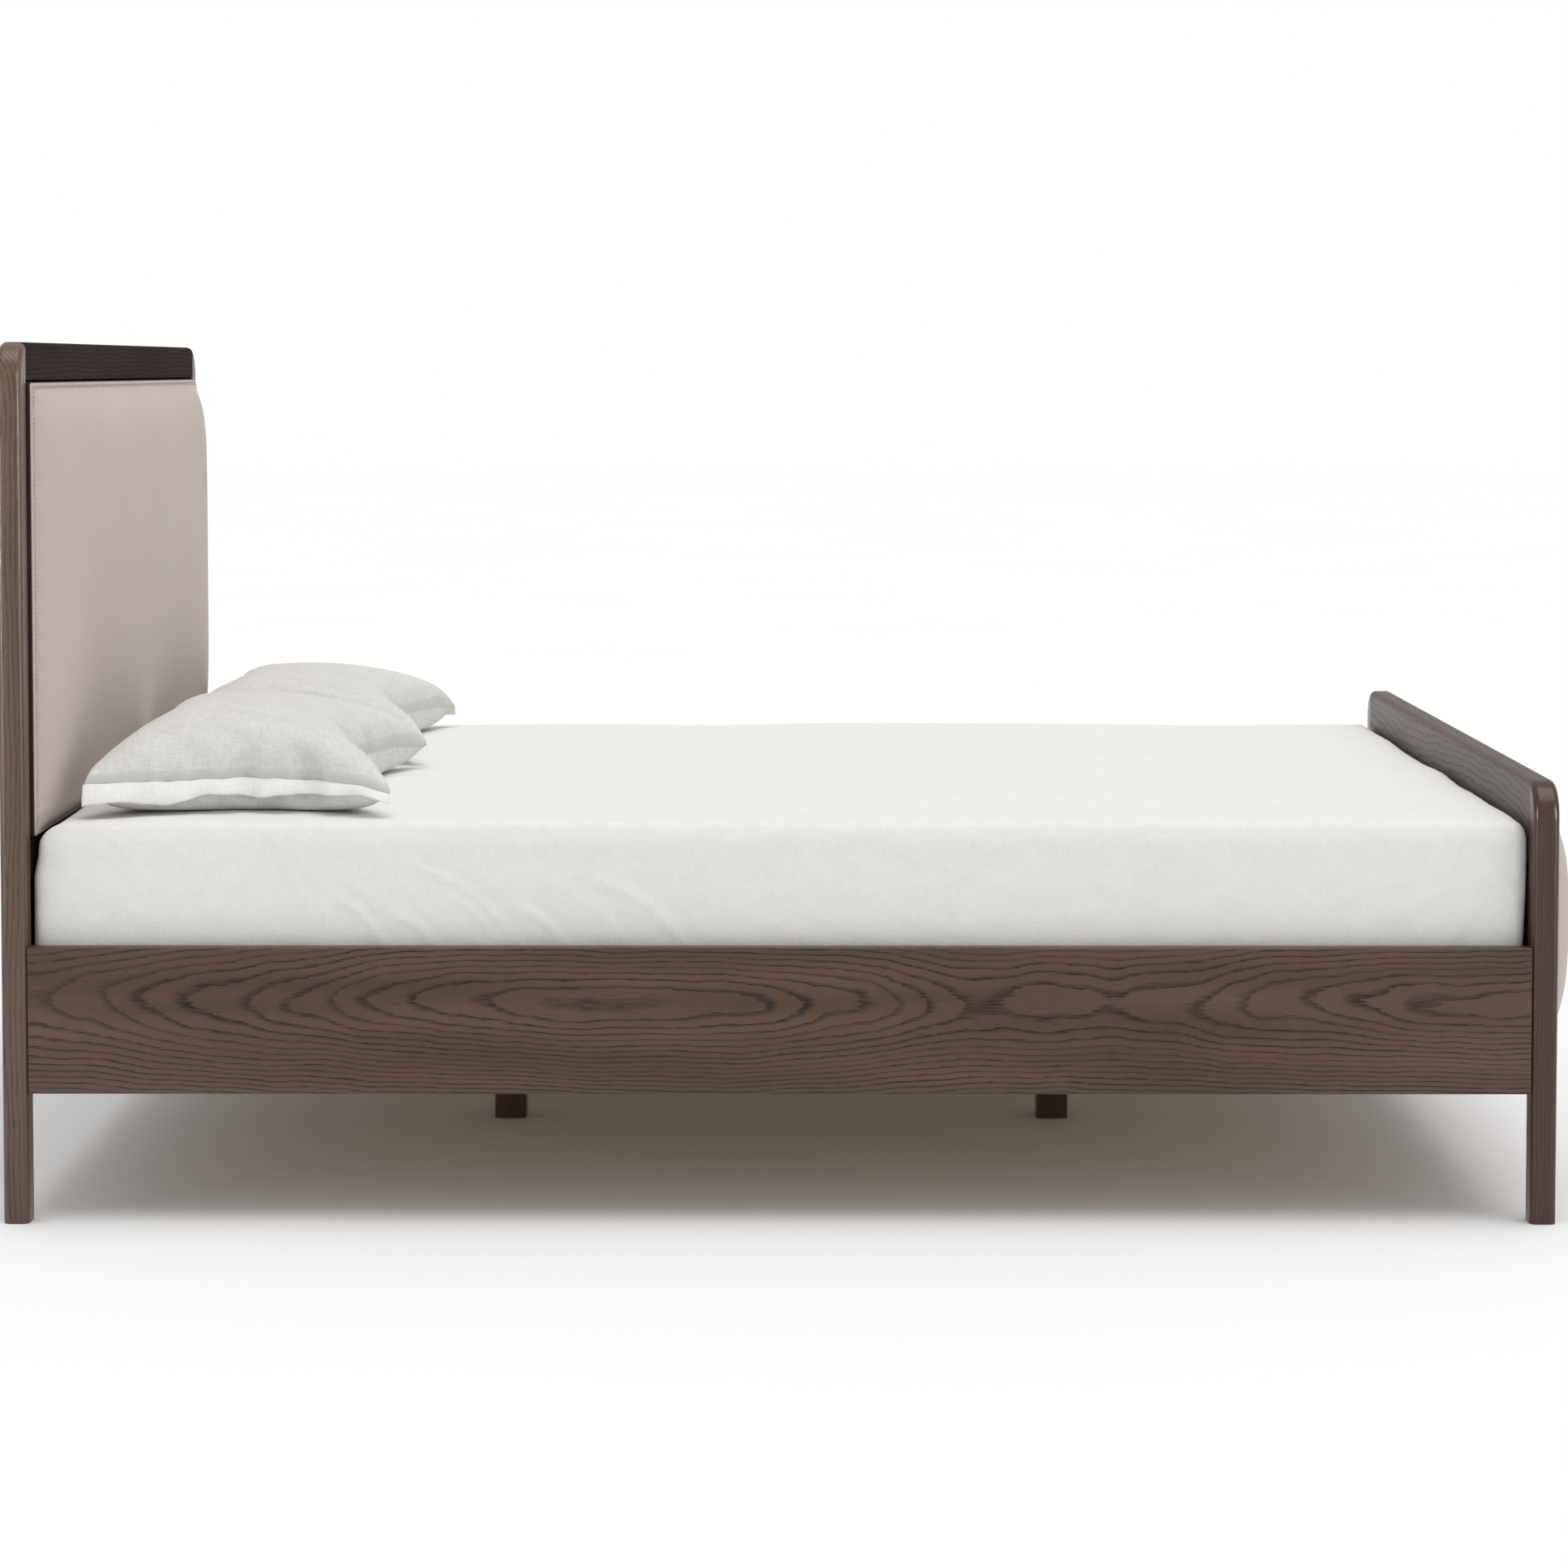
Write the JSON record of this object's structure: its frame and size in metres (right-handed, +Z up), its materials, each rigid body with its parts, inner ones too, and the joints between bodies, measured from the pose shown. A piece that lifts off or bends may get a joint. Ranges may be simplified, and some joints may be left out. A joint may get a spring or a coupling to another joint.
{
  "type": "upholstered panel bed",
  "caption": "Oak panel bed with a padded headboard and a low footboard padded outside, slatted base with centre legs, mattress and pillows.",
  "frame": {"origin": "on the floor, under the middle of the overall box", "axes": "+X from the headboard to the footboard, +Y to the left of someone lying in the bed, +Z up"},
  "size_m": [2.152, 1.6, 1.198],
  "materials": {
    "stained_oak": "satin",
    "veneered_panel": "satin",
    "plywood": "matte",
    "pine": "matte",
    "beech": "matte",
    "pad_fabric": "matte",
    "sheet_fabric": "matte",
    "foam": "matte",
    "pillow_fabric": "matte",
    "black_steel": "satin",
    "zinc_steel": "satin",
    "brass_insert": "satin",
    "nylon": "matte"
  },
  "bodies": {
    "bed_frame": {"beam_hanger_foot": "black_steel", "beam_hanger_head": "black_steel", "bracket_bolts": "zinc_steel", "centre_beam": "pine", "centre_leg_bolts": "zinc_steel", "centre_leg_foot": "stained_oak", "centre_leg_glides": "nylon", "centre_leg_head": "stained_oak", "corner_bracket_foot_left": "black_steel", "corner_bracket_foot_right": "black_steel", "corner_bracket_head_left": "black_steel", "corner_bracket_head_right": "black_steel", "foot_bottom_rail": "stained_oak", "foot_frame_dowels": "beech", "foot_inner_panel": "stained_oak", "foot_pad_board": "plywood", "foot_pad_cushion": "pad_fabric", "foot_pad_screws": "zinc_steel", "foot_post_left": "stained_oak", "foot_post_right": "stained_oak", "foot_top_rail": "stained_oak", "hanger_screws": "zinc_steel", "head_back_panel": "veneered_panel", "head_bottom_rail": "stained_oak", "head_frame_dowels": "beech", "head_mid_rail": "stained_oak", "head_pad_board": "plywood", "head_pad_cushion": "pad_fabric", "head_pad_screws": "zinc_steel", "head_post_left": "stained_oak", "head_post_right": "stained_oak", "head_top_rail": "stained_oak", "ledger_screws": "zinc_steel", "post_glides": "nylon", "side_rail_left": "stained_oak", "side_rail_right": "stained_oak", "slat_01": "pine", "slat_02": "pine", "slat_03": "pine", "slat_04": "pine", "slat_05": "pine", "slat_06": "pine", "slat_07": "pine", "slat_08": "pine", "slat_09": "pine", "slat_10": "pine", "slat_11": "pine", "slat_12": "pine", "slat_ledger_left": "pine", "slat_ledger_right": "pine", "slat_screws": "zinc_steel", "threaded_inserts": "brass_insert"},
    "mattress": {"mattress_core": "foam", "mattress_comfort_layer": "foam", "mattress_cover": "sheet_fabric"},
    "pillow_left": {"pillow_left": "pillow_fabric"},
    "pillow_right": {"pillow_right": "pillow_fabric"}
  },
  "joints": [
    {"name": "mattress_tilt", "type": "hinge", "parent": "bed_frame", "child": "mattress", "pos_m": [-0.988, 0, 0.5003], "axis": [0, -1, 0], "range_deg": [0, 15]},
    {"name": "pillow_left_lift", "type": "slide", "parent": "mattress", "child": "pillow_left", "axis": [0.6, 0, 0.8], "range_m": [0, 0.85]},
    {"name": "pillow_right_lift", "type": "slide", "parent": "mattress", "child": "pillow_right", "axis": [0.6, 0, 0.8], "range_m": [0, 0.85]}
  ]
}
